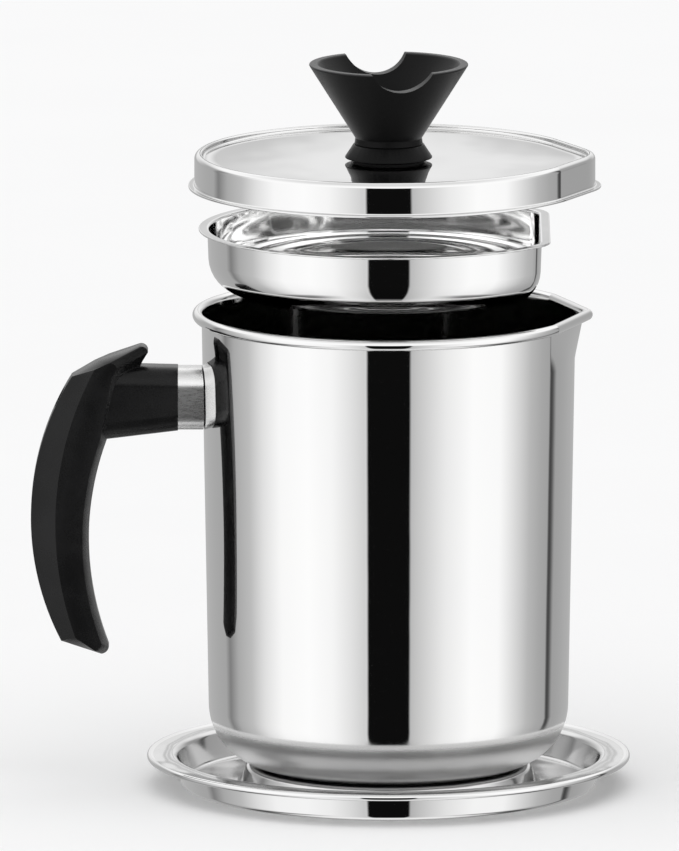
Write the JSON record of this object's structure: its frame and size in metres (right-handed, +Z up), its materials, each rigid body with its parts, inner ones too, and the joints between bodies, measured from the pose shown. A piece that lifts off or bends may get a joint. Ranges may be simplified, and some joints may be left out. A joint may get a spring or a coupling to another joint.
{
  "type": "bacon grease container",
  "caption": "Polished steel grease pot with pour spout and black side handle, hanging mesh strainer, lid with notched cone knob, and round drip tray, laid out one above another.",
  "frame": {"origin": "centre of the drip tray's underside, on the pot's axis", "axes": "+Z up along the pot's axis, +X towards the pour spout, -X towards the handle"},
  "size_m": [0.1944, 0.1568, 0.2368],
  "materials": {
    "polished_steel": "polished",
    "ferrule_steel": "satin",
    "plain_steel": "satin",
    "wire_mesh": "satin",
    "black_bakelite": "satin",
    "black_rubber": "matte",
    "brass_insert": "satin"
  },
  "bodies": {
    "tray": {"drip_tray": "polished_steel"},
    "pot": {"pot_shell": "polished_steel", "handle_saddle": "plain_steel", "handle_boss": "plain_steel", "handle_ferrule": "ferrule_steel", "handle_grip": "black_bakelite", "handle_screw": "plain_steel", "handle_lock_washer": "plain_steel"},
    "strainer": {"strainer_basin": "polished_steel", "strainer_mesh": "wire_mesh", "mesh_ring": "polished_steel"},
    "lid": {"lid_shell": "polished_steel", "knob_seal": "black_rubber", "knob_collar": "black_bakelite", "knob_cup": "black_bakelite", "knob_insert": "brass_insert", "knob_washer": "plain_steel", "knob_screw": "plain_steel"}
  },
  "joints": [
    {"name": "pot_lift", "type": "slide", "parent": "tray", "child": "pot", "axis": [0, 0, 1], "range_m": [0, 0.014]},
    {"name": "strainer_lift", "type": "slide", "parent": "pot", "child": "strainer", "axis": [0, 0, 1], "range_m": [-0.026, 0]},
    {"name": "lid_lift", "type": "slide", "parent": "strainer", "child": "lid", "axis": [0, 0, 1], "range_m": [-0.0141, 0]}
  ]
}
